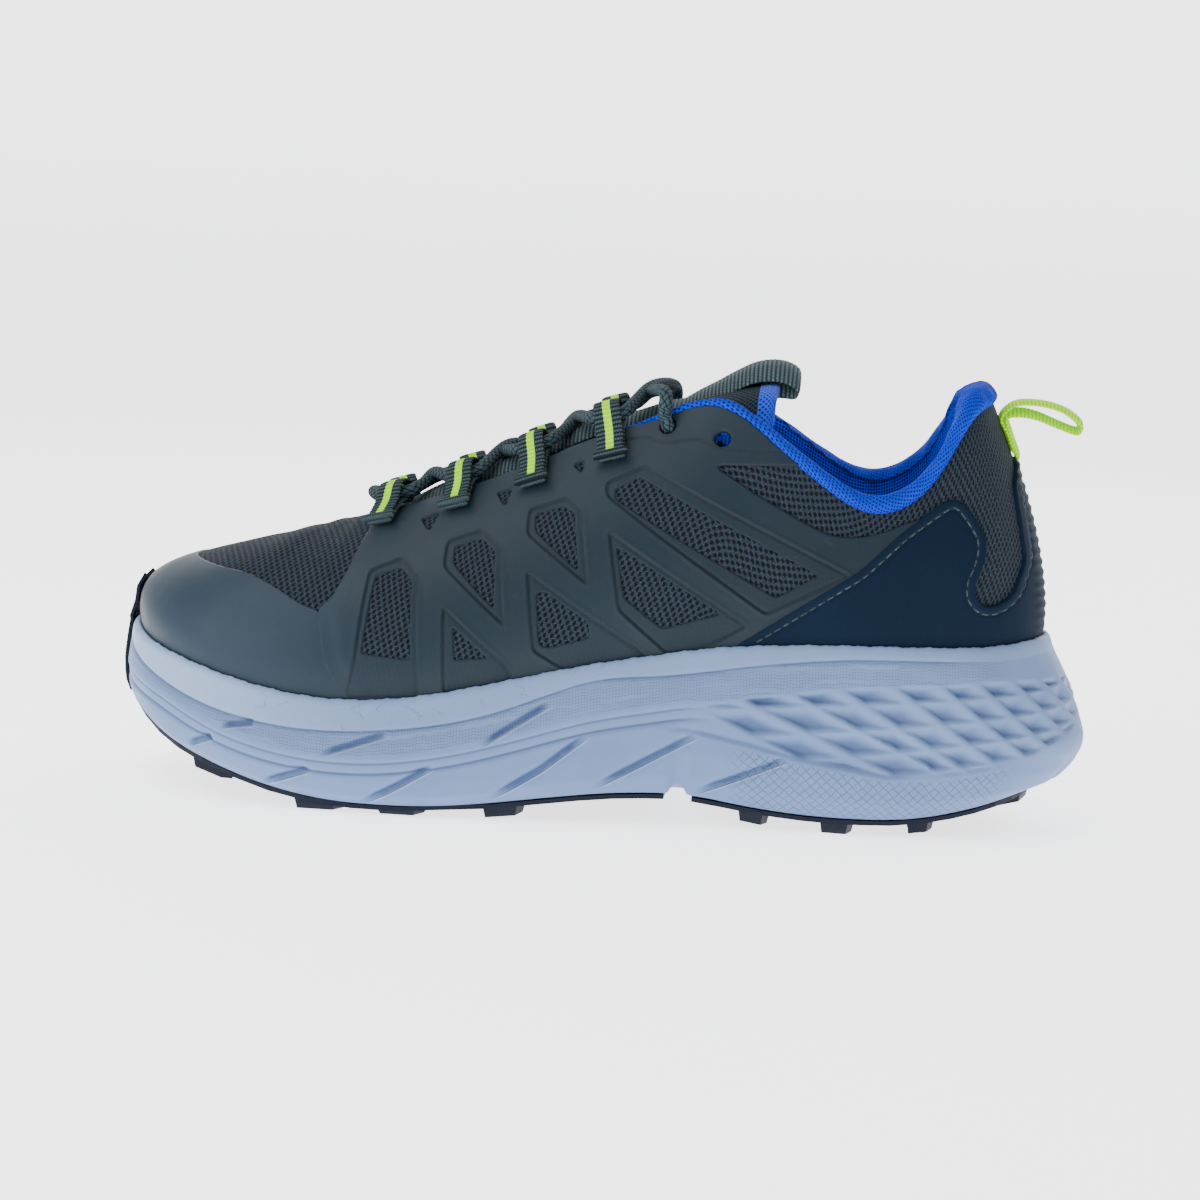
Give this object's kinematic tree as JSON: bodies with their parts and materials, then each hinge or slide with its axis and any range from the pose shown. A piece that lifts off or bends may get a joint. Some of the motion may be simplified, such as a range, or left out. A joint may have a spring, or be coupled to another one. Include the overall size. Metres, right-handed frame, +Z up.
{
  "type": "trail running shoe",
  "caption": "Low-cut lace-up trail running shoe with a lugged outsole, thick foam midsole, open film cage over mesh, padded collar and pull loops.",
  "frame": {"origin": "centre of the footprint's bounding box on the ground plane, under the lugs", "axes": "-X towards the toe, +X towards the heel, -Y towards the outer side of the foot, +Z up"},
  "size_m": [0.2916, 0.1075, 0.1339],
  "materials": {
    "midsole_foam": "matte moulded foam, cool white",
    "outsole_rubber": "matte dark navy rubber",
    "insole_fabric": "blue knitted lining over foam",
    "upper_mesh": "dark open mesh",
    "film_overlay": "matte grey heat-pressed film",
    "heel_film": "satin dark navy film",
    "collar_fabric": "bright blue knitted mesh",
    "tongue_mesh": "dark padded mesh",
    "webbing": "grey woven webbing",
    "neon_webbing": "neon yellow-green woven webbing",
    "lace_cord": "round braided grey lace"
  },
  "bodies": {
    "root": {"midsole": "midsole_foam", "outsole_forefoot": "outsole_rubber", "outsole_heel": "outsole_rubber", "insole": "insole_fabric", "upper": "upper_mesh", "toe_cap": "film_overlay", "cage_lateral": "film_overlay", "cage_medial": "film_overlay", "heel_counter": "heel_film", "collar": "collar_fabric", "tongue": "tongue_mesh", "tongue_pull_loop": "webbing", "heel_pull_loop": "neon_webbing", "lace_loop_lateral_1": "webbing", "lace_loop_lateral_2": "webbing", "lace_loop_lateral_3": "webbing", "lace_loop_lateral_4": "webbing", "lace_loop_medial_1": "webbing", "lace_loop_medial_2": "webbing", "lace_loop_medial_3": "webbing", "lace_loop_medial_4": "webbing", "laces": "lace_cord"}
  },
  "joints": []
}
